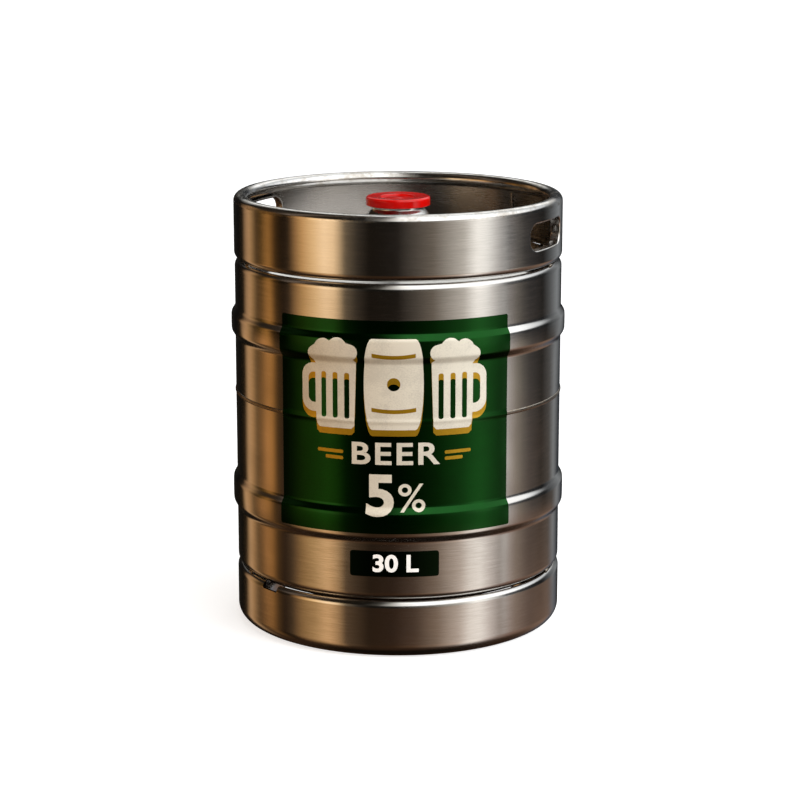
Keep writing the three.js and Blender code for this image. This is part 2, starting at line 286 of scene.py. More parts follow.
def chime_edge(c, level, side, inset, steps):
    """The rounded edge where a chime's wall turns in to the vessel"""
    centre = (c["radius"] - c["edge_radius"], level)
    return arc(centre, c["edge_radius"] - inset, side * 63, 0, steps)


def sheet_end(a, b, steps=6):
    """A half-round end that joins the two faces of a sheet, from a to b"""
    a, b = np.array(a), np.array(b)
    middle, half = (a + b) / 2, (a - b) / 2
    turned = np.array([-half[1], half[0]])
    turn = np.linspace(0, math.pi, steps + 2)[1:-1]
    return [tuple(middle + half * math.cos(t) + turned * math.sin(t)) for t in turn]


def top_chime_outline(c):
    """Outline of the top chime, with the rows that the hand holes are cut through"""
    rim_z = KEG_HEIGHT - c["rim_radius"]
    centre = (c["radius"] - c["rim_radius"], rim_z)
    low, high, rows = 391.0, 426.4, 16
    heights = np.linspace(low, high, rows + 1)
    edge_z = c["top_edge"]
    lower = join(chime_edge(c, edge_z, -1, 0, 10), line((c["radius"], edge_z), (c["radius"], low), 1.5))
    outer = [(c["radius"], z) for z in heights]
    upper = join(
        line((c["radius"], high), (c["radius"], rim_z), 1.6),
        arc(centre, c["rim_radius"], 0, 290, 36))
    curl = arc(centre, c["rim_radius"] - c["sheet"], 290, 0, 20)
    inner_r = c["radius"] - c["sheet"]
    inner = [(inner_r, z) for z in heights[::-1]]
    under = chime_edge(c, edge_z, -1, c["sheet"], 6)[::-1]
    tail = join(line((inner_r, low), (inner_r, edge_z), 2.5), under)
    outline = lower[:-1]
    outer_rows = (len(outline), len(outline) + rows)
    outline = outline + outer + upper[1:]
    outline = outline + sheet_end(upper[-1], curl[0]) + curl[:-1] + line(curl[-1], inner[0], 2)[:-1]
    inner_rows = (len(outline), len(outline) + rows)
    outline = outline + inner + tail[1:] + sheet_end(tail[-1], lower[0])
    return outline, outer_rows, inner_rows


def bottom_chime_outline(c):
    """Outline of the bottom chime, with the rows between which the drain notches are cut"""
    foot = (c["radius"] - c["foot_radius"], c["foot_radius"])
    curl, curl_top, floor = 8, 13, c["bottom_edge"]
    curl_centre = (146, curl)
    curl_r, inner_r = curl_centre[0] - curl, c["radius"] - c["sheet"]
    outside = join(
        line((curl_r, curl_top), (curl_r, curl), 2),
        arc(curl_centre, curl, 180, 270, 12),
        line((curl_centre[0], 0), (foot[0], 0), 2),
        arc(foot, c["foot_radius"], -90, 0, 20),
        line((c["radius"], foot[1]), (c["radius"], floor), 2))
    shoulder = chime_edge(c, floor, 1, 0, 12)[::-1]
    under = chime_edge(c, floor, 1, c["sheet"], 6)
    inside = join(
        line((inner_r, floor), (inner_r, foot[1]), 4),
        arc(foot, c["foot_radius"] - c["sheet"], 0, -90, 10),
        line((foot[0], c["sheet"]), (curl_centre[0], c["sheet"]), 2),
        arc(curl_centre, curl - c["sheet"], 270, 180, 8),
        line((curl_r + c["sheet"], curl), (curl_r + c["sheet"], curl_top), 2))
    outline = join(outside, shoulder, sheet_end(shoulder[-1], under[0]), under)
    cut = (len(outside) - 1, len(outline) - 1)
    outline = join(outline, inside) + sheet_end(inside[-1], outside[0])
    return outline, cut


# ---------------------------------------------------------------- meshes


def finish_object(name, bm, finishes, body, replaced=()):
    """Turn a bmesh in metres into a smooth object that rides on a body of the frame.

    finishes names its materials in the order of the faces' material numbers.
    """
    unused = [p for p in bm.verts if not p.link_faces]
    bmesh.ops.delete(bm, geom=unused, context="VERTS")
    bmesh.ops.recalc_face_normals(bm, faces=bm.faces)
    mesh = bpy.data.meshes.new(name)
    bm.to_mesh(mesh)
    bm.free()
    for polygon in mesh.polygons:
        polygon.use_smooth = True
    mesh.set_sharp_from_angle(angle=math.radians(38))
    for finish in finishes:
        mesh.materials.append(finish_for(finish))
    piece = bpy.data.objects.new(name, mesh)
    bpy.context.scene.collection.objects.link(piece)
    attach(piece, body)
    if replaced:
        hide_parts(*replaced)
    return piece


def on_ring(phi, r, z):
    """A point in metres at an azimuth from the front, a radius and a height in millimetres"""
    return (MM * r * math.sin(phi), -MM * r * math.cos(phi), MM * z)


def revolve(outline, sides, displace=None, finish=None, skip=()):
    """Turn an outline about Z. Returns the bmesh and its grid of vertices, by column and row.

    displace(phi, r, z) moves points in or out, finish(row) picks a material, and skip holds the
    cells (column, row) that are left open for a window.
    """
    bm = bmesh.new()
    on_axis = outline[0][0] < 1e-6 and outline[-1][0] < 1e-6
    poles = {}
    grid = []
    for i in range(sides):
        phi = 2 * math.pi * i / sides
        column = []
        for k, (r, z) in enumerate(outline):
            if on_axis and k in (0, len(outline) - 1):
                if k not in poles:
                    poles[k] = bm.verts.new((0, 0, MM * z))
                column.append(poles[k])
                continue
            out = displace(phi, r, z) if displace else 0
            column.append(bm.verts.new(on_ring(phi, r + out, z)))
        grid.append(column)
    rows = len(outline) - 1 if on_axis else len(outline)
    for i in range(sides):
        for k in range(rows):
            if (i, k) in skip:
                continue
            n, m = (i + 1) % sides, (k + 1) % len(outline)
            corners = [grid[i][k], grid[n][k], grid[n][m], grid[i][m]]
            face = bm.faces.new(list(dict.fromkeys(corners)))
            if finish:
                face.material_index = finish(k)
    return bm, grid


def turned(name, outline, sides, finish, body, replaced):
    """A plain turned fitting in one finish"""
    bm, _ = revolve(outline, sides)
    return finish_object(name, bm, [finish], body, [replaced])


def block_of_cells(columns, *row_spans):
    """The cells of a grid, by column and row, that lie in some columns and in any span of rows"""
    return {(i, k) for i in columns for span in row_spans for k in range(*span)}


def boundary(grid, columns, rows):
    """Vertices round a block of the grid, from its first corner along the columns"""
    first, last = columns
    low, high = rows
    sides = len(grid)
    loop = [grid[i % sides][low] for i in range(first, last)]
    step = 1 if high > low else -1
    loop += [grid[last % sides][k] for k in range(low, high, step)]
    loop += [grid[i % sides][high] for i in range(last, first, -1)]
    loop += [grid[first % sides][k] for k in range(high, low, -step)]
    return loop


def rectangle_reach(direction, half_width, half_height, corner):
    """How far a round-cornered rectangle reaches from its centre in a direction"""
    low, high = 0.0, 2 * (half_width + half_height)
    for _ in range(48):
        reach = (low + high) / 2
        x = abs(direction[0]) * reach - (half_width - corner)
        y = abs(direction[1]) * reach - (half_height - corner)
        outside = math.hypot(max(x, 0), max(y, 0)) + min(max(x, y), 0) > corner
        low, high = (low, reach) if outside else (reach, high)
    return low


def bridge(bm, near, far, material):
    """A strip of faces between two loops of the same length"""
    count = len(near)
    for j in range(count):
        face = bm.faces.new([near[j], near[(j + 1) % count], far[(j + 1) % count], far[j]])
        face.material_index = material


def wall_window(bm, grid, columns, outer_rows, inner_rows, hole):
    """Open a round-cornered window through a wall, with a rolled lip of the same sheet behind it.

    hole holds its azimuth in degrees, level, width, height, corner, wall radius, sheet, lip depth
    and edge radius, in millimetres. Faces are numbered 0 on the wall, 1 on the rounded edge and 2
    behind it.
    """
    outer_loop = boundary(grid, columns, outer_rows)
    inner_loop = boundary(grid, columns, (inner_rows[1], inner_rows[0]))
    centre_phi = math.radians(hole["azimuth"])
    wall = hole["radius"]
    corners = []
    for vertex in outer_loop:
        x, y, z = (c / MM for c in vertex.co)
        along = (math.atan2(x, -y) - centre_phi + math.pi) % (2 * math.pi) - math.pi
        corners.append((along * wall, z - hole["level"]))

    def ring(growth, depth, blend=0.0):
        made = []
        for x, y in corners:
            size = math.hypot(x, y)
            direction = (x / size, y / size)
            reach = rectangle_reach(
                direction, hole["width"] / 2 + growth, hole["height"] / 2 + growth, hole["corner"] + growth)
            reach = reach * (1 - blend) + size * blend
            phi, z = centre_phi + direction[0] * reach / wall, hole["level"] + direction[1] * reach
            made.append(bm.verts.new(on_ring(phi, wall - depth + wave(phi, hole["level"]), z)))
        return made

    edge, sheet, lip = hole["edge"], hole["sheet"], hole["lip"]
    rings = [(outer_loop, 0)]
    rings += [(ring(edge, 0, blend), 0) for blend in (0.75, 0.5, 0.28, 0.12, 0.03)]
    for turn in np.radians(np.linspace(0, 90, 8)):
        rings.append((ring(edge * (1 - math.sin(turn)), edge * (1 - math.cos(turn))), 1))
    rings.append((ring(0, (edge + lip - sheet / 2) / 2), 2))
    for turn in np.radians(np.linspace(0, 180, 9)):
        growth = sheet / 2 * (1 - math.cos(turn))
        rings.append((ring(growth, lip - sheet / 2 + sheet / 2 * math.sin(turn)), 2))
    rings.append((ring(sheet, sheet + 1.0), 2))
    rings.append((ring(sheet + 0.4, sheet + 0.3), 2))
    rings += [(ring(sheet + 1.0, sheet, blend), 2) for blend in (0.0, 0.3, 0.65)]
    rings.append((inner_loop, 2))
    for (near, material), (far, _) in zip(rings, rings[1:]):
        bridge(bm, near, far, material)


def sweep_coil(name, coil, body, replaced):
    """A coil spring of round wire with dead, ground end turns"""
    steps, wire_sides = 48, 14
    total = round(coil["turns"] * steps)
    bm = bmesh.new()
    rings = []
    dead = 0.5 / coil["turns"]
    for i in range(total + 1):
        t = i / total
        turn = 2 * math.pi * coil["turns"] * t
        rise = min(max((t - dead) / (1 - 2 * dead), 0), 1)
        z = coil["bottom"] + (coil["top"] - coil["bottom"]) * rise
        out = np.array([math.cos(turn), math.sin(turn), 0])
        centre = out * coil["radius"] + np.array([0, 0, z])
        ring = []
        for j in range(wire_sides):
            a = 2 * math.pi * j / wire_sides
            point = centre + coil["wire"] * (out * math.cos(a) + np.array([0, 0, math.sin(a)]))
            ring.append(bm.verts.new(point * MM))
        rings.append(ring)
    for near, far in zip(rings, rings[1:]):
        bridge(bm, near, far, 0)
    bm.faces.new(rings[0])
    bm.faces.new(rings[-1][::-1])
    return finish_object(name, bm, ["spring"], body, [replaced])


# ---------------------------------------------------------------- flat artwork wrapped round the wall


def flat_shape(loops):
    """A filled flat shape in millimetres: the first loop is its edge and the others are holes"""
    curve = bpy.data.curves.new("artwork", "CURVE")
    curve.dimensions = "2D"
    curve.fill_mode = "BOTH"
    for loop in loops:
        spline = curve.splines.new("POLY")
        spline.points.add(len(loop) - 1)
        for point, (x, y) in zip(spline.points, loop):
            point.co = (x, y, 0, 1)
        spline.use_cyclic_u = True
    return flat_mesh(curve)


def flat_text(words, height, weight, spacing=1.0):
    """Lettering in millimetres, centred on the origin, with heavier strokes"""
    curve = bpy.data.curves.new("artwork", "FONT")
    curve.body = words
    curve.size = 1.0
    curve.offset = weight
    curve.space_character = spacing
    curve.resolution_u = 5
    bm = flat_mesh(curve)
    low, high = extent(bm)
    scale = height / (high[1] - low[1])
    for v in bm.verts:
        v.co.x = (v.co.x - (low[0] + high[0]) / 2) * scale
        v.co.y = (v.co.y - (low[1] + high[1]) / 2) * scale
    return bm


def flat_mesh(curve):
    """The filled faces of a flat curve or text, as a bmesh"""
    holder = bpy.data.objects.new("artwork", curve)
    bpy.context.scene.collection.objects.link(holder)
    mesh = holder.evaluated_get(bpy.context.evaluated_depsgraph_get()).to_mesh()
    bm = bmesh.new()
    bm.from_mesh(mesh)
    bmesh.ops.remove_doubles(bm, verts=bm.verts, dist=1e-5)
    bpy.data.objects.remove(holder)
    bpy.data.curves.remove(curve)
    return bm


def moved(bm, x, y, mirror=False, stretch=1.0):
    """A flat shape, mirrored or widened and then moved"""
    for v in bm.verts:
        v.co.x = x + (-v.co.x if mirror else v.co.x) * stretch
        v.co.y += y
    return bm


def merged(shapes):
    """Several flat shapes as one bmesh"""
    whole = bmesh.new()
    for bm in shapes:
        mesh = bpy.data.meshes.new("artwork")
        bm.to_mesh(mesh)
        bm.free()
        whole.from_mesh(mesh)
        bpy.data.meshes.remove(mesh)
    return whole


# Gap from the steel and thickness of the printed layers, in millimetres
FILM = (0.06, 0.2)
INK = (0.27, 0.06)
UNDER_INK = (0.27, 0.05)
OVER_INK = (0.33, 0.06)


def extent(bm):
    """The lowest and highest x and y of a flat shape"""
    return [[pick(p.co[axis] for p in bm.verts) for axis in (0, 1)] for pick in (min, max)]


def wrap(name, bm, v, azimuth, layer, finish, replaced=()):
    """Cut a flat shape into small cells, lay it on the keg's wall and give it thickness"""
    gap, thickness = layer
    low, high = extent(bm)
    # off the round millimetre, so that no cut runs along an edge of the artwork
    shift = 0.013
    for axis, cell in enumerate((4.0, 1.25)):
        for place in np.arange(math.floor(low[axis] / cell) + 1, high[axis] / cell) * cell:
            at, normal = [0.0, 0.0, 0.0], [0.0, 0.0, 0.0]
            at[axis], normal[axis] = place + shift, 1.0
            bmesh.ops.bisect_plane(
                bm, geom=bm.verts[:] + bm.edges[:] + bm.faces[:], dist=1e-5, plane_co=at, plane_no=normal)
    bmesh.ops.remove_doubles(bm, verts=bm.verts, dist=1e-4)
    bmesh.ops.dissolve_degenerate(bm, edges=bm.edges[:], dist=1e-4)
    wall = v["body_radius"]
    flat = {p: (p.co.x, p.co.y) for p in bm.verts}

    def place(x, z, lift):
        phi = math.radians(azimuth) + x / wall
        over_weld = 0.75 * math.exp(-((z - v["girth_weld"]) / 2.0) ** 2)
        return on_ring(phi, wall_radius(v, z) + wave(phi, z) + over_weld + lift, z)

    outside = {p: bm.verts.new(place(*flat[p], gap + thickness)) for p in flat}
    for p in flat:
        p.co = place(*flat[p], gap)
    for face in bm.faces[:]:
        bm.faces.new([outside[p] for p in face.verts])
    for edge in [e for e in bm.edges if e.is_boundary and e.verts[0] in flat]:
        a, b = edge.verts
        bm.faces.new([a, b, outside[b], outside[a]])
    return finish_object(name, bm, [finish], "keg_body", replaced)


# ---------------------------------------------------------------- materials


def add(tree, kind, values=None, links=None, **settings):
    """Add a shader node with its settings, socket values and links"""
    node = tree.nodes.new(kind)
    for name, value in settings.items():
        setattr(node, name, value)
    for socket, value in (values or {}).items():
        node.inputs[socket].default_value = value
    for socket, source in (links or {}).items():
        tree.links.new(source, node.inputs[socket])
    return node


def start(name):
    """A new material with an empty tree"""
    material = bpy.data.materials.new(name)
    material.use_nodes = True
    material.node_tree.nodes.clear()
    return material, material.node_tree


def grain(tree, across, along, detail=3.0, roughness=0.6):
    """Noise drawn out round the keg: across and along are its grain sizes in millimetres"""
    place = add(tree, "ShaderNodeTexCoord")
    stretch = add(tree, "ShaderNodeMapping", {"Scale": (1000 / along, 1000 / along, 1000 / across)},
                  {"Vector": place.outputs["Object"]})
    return add(tree, "ShaderNodeTexNoise", {"Scale": 1.0, "Detail": detail, "Roughness": roughness},
               {"Vector": stretch.outputs["Vector"]}).outputs["Fac"]


def spread(tree, source, low, high, to_low=0.0, to_high=1.0):
    """Map a range of a value onto another, with soft ends"""
    limits = {"From Min": low, "From Max": high, "To Min": to_low, "To Max": to_high}
    node = add(tree, "ShaderNodeMapRange", limits, {"Value": source}, interpolation_type="SMOOTHSTEP")
    return node.outputs["Result"]


def bumped(tree, strength, height, depth=0.0001):
    """Surface relief of a depth in metres"""
    node = add(tree, "ShaderNodeBump", {"Strength": strength, "Distance": depth}, {"Height": height})
    return node.outputs["Normal"]


def level_brushing(tree):
    """Brushing that runs level round the keg"""
    return add(tree, "ShaderNodeTangent", direction_type="RADIAL", axis="Z").outputs["Tangent"]


def surfaced(material, values, tone, rough=None, normal=None, tangent=None):
    """A material with its Principled shader and output added"""
    tree = material.node_tree
    sockets = {"Base Color": tone, "Roughness": rough, "Normal": normal, "Tangent": tangent}
    links = {name: source for name, source in sockets.items() if source is not None}
    shader = add(tree, "ShaderNodeBsdfPrincipled", values, links)
    add(tree, "ShaderNodeOutputMaterial", links={"Surface": shader.outputs["BSDF"]})
    return material


def tinted(tint, share):
    """A colour darkened to a share of itself"""
    return tuple(part * share for part in tint[:3]) + (1.0,)


def sum_of(tree, a, b):
    """The sum of two values"""
    return add(tree, "ShaderNodeMath", links={0: a, 1: b}, operation="ADD").outputs[0]


def blend(tree, factor, a, b):
    """A colour between two, each given as a value or as a socket"""
    node = add(tree, "ShaderNodeMix", data_type="RGBA")
    tree.links.new(factor, node.inputs["Factor"])
    for socket, source in ((6, a), (7, b)):
        if isinstance(source, bpy.types.NodeSocket):
            tree.links.new(source, node.inputs[socket])
        else:
            node.inputs[socket].default_value = source
    return node.outputs[2]


def brushed_stainless(colours, name="Brushed stainless 304", shade_and_dulling=0.0):
    """304 stainless sheet, belt-brushed round the keg with 180 grit.

    The brushing runs level, so lamps and windows stay sharp sideways and smear up and down.
    """
    material, tree = start(name)
    # 180 grit leaves lines about 0.1 mm apart: drawn 0.7 mm apart so that they show at all
    lines = grain(tree, across=0.7, along=24, detail=4)
    # longer, rarer scuffs from rolling and racking, a few millimetres apart
    scuffs = grain(tree, across=4.0, along=60, detail=5, roughness=0.65)
    cloud = grain(tree, across=70, along=70, detail=2)
    streak = spread(tree, lines, 0.3, 0.7)
    tone = blend(tree, streak, tuple(colours.steel_dark), tuple(colours.steel_light))
    worn = blend(tree, spread(tree, scuffs, 0.56, 0.72, 0.0, 0.2), tone, linear("#E2E1DE"))
    # Besides roughening, the last argument darkens the steel toward this brown as painted shade on inner
    # faces; at 0 only the random haze of the cloud shows
    hazed_and_shaded = blend(tree, spread(tree, cloud, 0.5, 0.75, shade_and_dulling, shade_and_dulling + 0.15), worn, linear("#5E5144"))
    rough = sum_of(tree, spread(tree, cloud, 0.3, 0.7, 0.13 + shade_and_dulling * 0.2, 0.17 + shade_and_dulling * 0.2),
                   spread(tree, lines, 0.3, 0.7, -0.02, 0.02))
    relief = bumped(tree, 0.05 - shade_and_dulling * 0.06, sum_of(tree, lines, scuffs))
    return surfaced(material, {"Metallic": 1.0, "Anisotropic": 0.8, "Anisotropic Rotation": 0.25},
                    hazed_and_shaded, rough, relief, level_brushing(tree))


def polished_stainless(colours, name="Polished stainless 304", rough_low=0.13, rough_high=0.26):
    """Stainless rolled or machined and then mopped bright, with hairlines and handling haze"""
    material, tree = start(name)
    cloud = grain(tree, across=9, along=14, detail=4)
    hair = grain(tree, across=0.9, along=12, detail=3)
    tone = blend(tree, spread(tree, cloud, 0.4, 0.75), tuple(colours.polished), linear("#B5AFA6"))
    rough = spread(tree, cloud, 0.35, 0.7, rough_low, rough_high)
    relief = bumped(tree, 0.12, sum_of(tree, hair, cloud), depth=0.00008)
    return surfaced(material, {"Metallic": 1.0}, tone, rough, relief)


def weld_metal(colours, name="TIG weld stainless", unshaded_share=1.0):
    """Unground TIG weld in stainless: frozen ripples, straw and grey oxide left after pickling.

    The last argument is the share of its colour left; below 1 it darkens the metal as painted shade, for a
    weld deep in a groove and for the faces round a cut.
    """
    material, tree = start(name)
    tints = [tinted(tint, unshaded_share) for tint in (tuple(colours.weld), linear("#958A7C"))]
    oxide = grain(tree, across=2.5, along=7, detail=4)
    pits = grain(tree, across=0.7, along=0.9, detail=2)
    tone = blend(tree, spread(tree, oxide, 0.42, 0.66), *tints)
    rough = spread(tree, oxide, 0.35, 0.7, 0.24, 0.46)
    return surfaced(material, {"Metallic": 1.0}, tone, rough, bumped(tree, 0.05, pits))


def cap_polyethylene(colours):
    """Injection-moulded polyethylene from a polished mould: deep even red, soft gloss, fine scuffs"""
    material, tree = start("Moulded red polyethylene")
    cloud = grain(tree, across=14, along=18, detail=3)
    scuffs = grain(tree, across=0.6, along=3, detail=5, roughness=0.75)
    tone = blend(tree, spread(tree, cloud, 0.35, 0.7), tuple(colours.cap), linear("#C30A07"))
    marked = blend(tree, spread(tree, scuffs, 0.62, 0.74, 0.0, 0.12), tone, linear("#E2473A"))
    rough = spread(tree, scuffs, 0.4, 0.72, 0.14, 0.24)
    values = {
        "IOR": 1.51, "Specular IOR Level": 0.36, "Subsurface Weight": 0.04,
        "Subsurface Radius": (0.004, 0.001, 0.0008), "Subsurface Scale": 1.0,
    }
    return surfaced(material, values, marked, rough, bumped(tree, 0.025, scuffs))


def nitrile_rubber(colours):
    """Compression-moulded nitrile: dull black with a talc bloom"""
    material, tree = start("Moulded nitrile rubber")
    bloom = grain(tree, across=2.2, along=3.5, detail=4)
    tone = blend(tree, spread(tree, bloom, 0.5, 0.75, 0.0, 0.5), tuple(colours.rubber), linear("#3A3937"))
    rough = spread(tree, bloom, 0.35, 0.7, 0.5, 0.72)
    return surfaced(material, {"IOR": 1.52}, tone, rough, bumped(tree, 0.15, bloom))


def film_ground(name, tint, coat):
    """Transparent ink on brushed metallised film under a gloss laminate.

    The metal mirrors the room in the ink's colour and the laminate adds a thin white glint.
    """
    material, tree = start(name)
    fibre = grain(tree, across=0.8, along=30, detail=3)
    cloud = grain(tree, across=40, along=40, detail=3)
    tone = blend(tree, spread(tree, cloud, 0.35, 0.7), tuple(tint), tinted(tint, 0.8))
    rough = sum_of(tree, spread(tree, cloud, 0.3, 0.7, 0.15, 0.19),
                   spread(tree, fibre, 0.3, 0.7, -0.02, 0.02))
    values = {
        "Metallic": 0.97, "IOR": 1.5, "Anisotropic": 0.75, "Anisotropic Rotation": 0.25,
        "Coat Weight": coat, "Coat Roughness": 0.12,
    }
    return surfaced(material, values, tone, rough, bumped(tree, 0.04, fibre), level_brushing(tree))


def print_ink(name, tint, metallic=0.0, painted_glow=0.0):
    """Screen-printed ink: opaque, slightly uneven in coverage, satin; the last argument makes it glow
    faintly, a painted glow that no lamp gives
    """
    material, tree = start(name)
    coverage = grain(tree, across=1.2, along=1.6, detail=4)
    cloud = grain(tree, across=30, along=30, detail=2)
    patches = spread(tree, sum_of(tree, coverage, cloud), 0.85, 1.25)
    tone = blend(tree, patches, tuple(tint), tinted(tint, 0.84))
    rough = spread(tree, coverage, 0.35, 0.7, 0.34, 0.46)
    values = {
        "Metallic": metallic, "IOR": 1.48, "Emission Color": tuple(tint), "Emission Strength": painted_glow,
    }
    return surfaced(material, values, tone, rough, bumped(tree, 0.06, coverage))


def studio_vinyl(tint):
    """Seamless matt backdrop vinyl for the floor"""
    material, tree = start("Matt backdrop vinyl")
    cloud = grain(tree, across=300, along=300, detail=2)
    tone = blend(tree, cloud, tuple(tint), tinted(tint, 0.97))
    values = {"Roughness": 0.9, "Emission Color": linear("#FFFFFF"), "Emission Strength": 0.7}
    return surfaced(material, values, tone)


MATERIALS = {}


def finish_for(key):
    """The material for a finish, made once"""
    if key not in MATERIALS:
        c = bpy.context.scene.keg_colours
        makers = {
            "brushed": lambda: brushed_stainless(c),
            # inner faces: the steel darkened toward brown as painted shade, and rougher
            "inside": lambda: brushed_stainless(c, "Dulled stainless 304", 0.55),
            "polished": lambda: polished_stainless(c),
            "spring": lambda: polished_stainless(c, "Drawn spring wire", 0.22, 0.36),
            "weld": lambda: weld_metal(c),
            # nearly black: painted shade for the groove welds and the faces of the drain notches
            "groove_shade_black": lambda: weld_metal(c, "Smoked stainless in a groove", 0.035),
            "cap": lambda: cap_polyethylene(c),
            "rubber": lambda: nitrile_rubber(c),
            "green": lambda: film_ground("Green metallised film", c.film_green, 0.16),
            "dark": lambda: film_ground("Dark metallised film", c.film_dark, 0.15),
            "cream": lambda: print_ink("Cream screen ink", c.cream),
            "gold": lambda: print_ink("Gold screen ink", c.gold, 0.55),
            # the white lettering gets a faint painted glow
            "white": lambda: print_ink("White screen ink", c.white, painted_glow=0.3),
        }
        MATERIALS[key] = makers[key]()
    return MATERIALS[key]


# ---------------------------------------------------------------- operators


class KegOperator:
    """What every step of the keg shares"""

    bl_options = {"REGISTER", "UNDO"}

    def execute(self, context):
        self.build(sizes_mm(context.scene.keg_vessel), sizes_mm(context.scene.keg_chimes))
        return {"FINISHED"}


class KEG_OT_shells(KegOperator, bpy.types.Operator):
    """Build the two halves of the pressure vessel"""

    bl_idname = "keg.shells"
    bl_label = "Shells"

    def build(self, v, c):
        for node, side in (("upper_shell", 1), ("lower_shell", -1)):
            bm, _ = revolve(shell_outline(v, side), 216, displace=lambda phi, r, z: wave(phi, z))
            finish_object(node + "_sheet", bm, ["brushed"], "keg_body", [node])


class KEG_OT_chimes(KegOperator, bpy.types.Operator):
    """Build the top chime with its hand holes and the bottom chime with its drain notches"""

    bl_idname = "keg.chimes"
    bl_label = "Chimes"

    def build(self, v, c):
        self.top(c)
        self.bottom(c)

    def top(self, c):
        outline, outer_rows, inner_rows = top_chime_outline(c)
        sides, reach = 360, 17
        centres = [round(c["hand_hole_azimuth"]) + half_turn for half_turn in (0, 180)]
        columns = {i % sides for centre in centres for i in range(centre - reach, centre + reach)}
        rim, inside = outer_rows[1] + 6, inner_rows[0] - 2
        bm, grid = revolve(
            outline, sides, displace=lambda phi, r, z: wave(phi, c["hand_hole_level"]),
            finish=lambda row: 0 if row < rim else 1 if row < inside else 2,
            skip=block_of_cells(columns, outer_rows, inner_rows))
        for centre in centres:
            hole = {
                "azimuth": centre, "level": c["hand_hole_level"], "width": c["hand_hole_width"],
                "height": c["hand_hole_height"], "corner": 11.5, "radius": c["radius"],
                "sheet": c["sheet"], "lip": 10, "edge": 1.8,
            }
            wall_window(bm, grid, (centre - reach, centre + reach), outer_rows, inner_rows, hole)
        # number 2, behind the hand holes and on the chime's inner side, is the steel darkened with painted
        # shade
        finishes = ["brushed", "polished", "inside"]
        finish_object("top_chime_ring", bm, finishes, "keg_body", ["top_chime"])

    def bottom(self, c):
        outline, cut = bottom_chime_outline(c)
        sides = 360
        half = math.degrees(c["notch_width"] / 2 / c["radius"])
        centres = [c["notch_azimuth"] + half_turn for half_turn in (0, 180)]
        first = [round(centre - half) for centre in centres]
        last = [round(centre + half) for centre in centres]
        columns = {i % sides for a, b in zip(first, last) for i in range(a, b)}
        bm, grid = revolve(
            outline, sides, displace=lambda phi, r, z: wave(phi, 30) * min(z / 14, 1),
            finish=lambda row: int(cut[0] + 10 < row < cut[1] - 4), skip=block_of_cells(columns, cut))
        rims = []
        for a, b in zip(first, last):
            for i in range(a, b):
                here, after = grid[i % sides], grid[(i + 1) % sides]
                sill = bm.faces.new([here[cut[0]], after[cut[0]], after[cut[1]], here[cut[1]]])
                sill.material_index = 2
                rims.append((here[cut[0]], after[cut[0]]))
            for i in (a, b):
                column = grid[i % sides]
                jamb = bm.faces.new([column[k] for k in range(cut[0], cut[1] + 1)])
                jamb.material_index = 2
                rims += [(column[k], column[k + 1]) for k in range(cut[0], cut[1])]
        edges = [bm.edges.get(pair) for pair in rims]
        bmesh.ops.bevel(bm, geom=edges, offset=0.55 * MM, segments=3, profile=0.5, affect="EDGES")
        # number 2, the notches' sills and jambs, is nearly black metal as painted shade
        finishes = ["brushed", "polished", "groove_shade_black"]
        finish_object("bottom_chime_ring", bm, finishes, "keg_body", ["bottom_chime"])


def weld_ring(name, outline, radius, pitch, height, replaced, sides=1440, finish="weld"):
    """A ring of weld whose surface froze in ripples, one every pitch millimetres"""
    count = round(2 * math.pi * radius / pitch)

    def ripple(phi, r, z):
        wander = 0.12 * math.sin(5 * phi + 1) + 0.08 * math.sin(17 * phi)
        return height * (math.cos(count * phi + wander * 6) - 1) / 2

    bm, _ = revolve(outline, sides, displace=ripple)
    return finish_object(name, bm, [finish], "keg_body", replaced)


def stitch(name, azimuth, centre, radii, replaced=()):
    """One stitch of weld: a small flattened blob, its radii given along, up and out"""
    bm = bmesh.new()
    tangent, up, out = radii
    steps = 12
    phi = math.radians(azimuth)
    rows = []
    for i in range(1, steps):
        lat = math.pi * i / steps - math.pi / 2
        row = []
        for j in range(2 * steps):
            lon = math.pi * j / steps
            along = tangent * math.sin(lat)
            rise = up * math.cos(lat) * math.sin(lon)
            depth = out * math.cos(lat) * math.cos(lon)
            row.append(bm.verts.new(on_ring(phi + along / centre[0], centre[0] + depth, centre[1] + rise)))
        rows.append(row)
    for near, far in zip(rows, rows[1:]):
        bridge(bm, near, far, 0)
    bm.faces.new(rows[0][::-1])
    bm.faces.new(rows[-1])
    finish_object(name, bm, ["weld"], "keg_body", replaced)


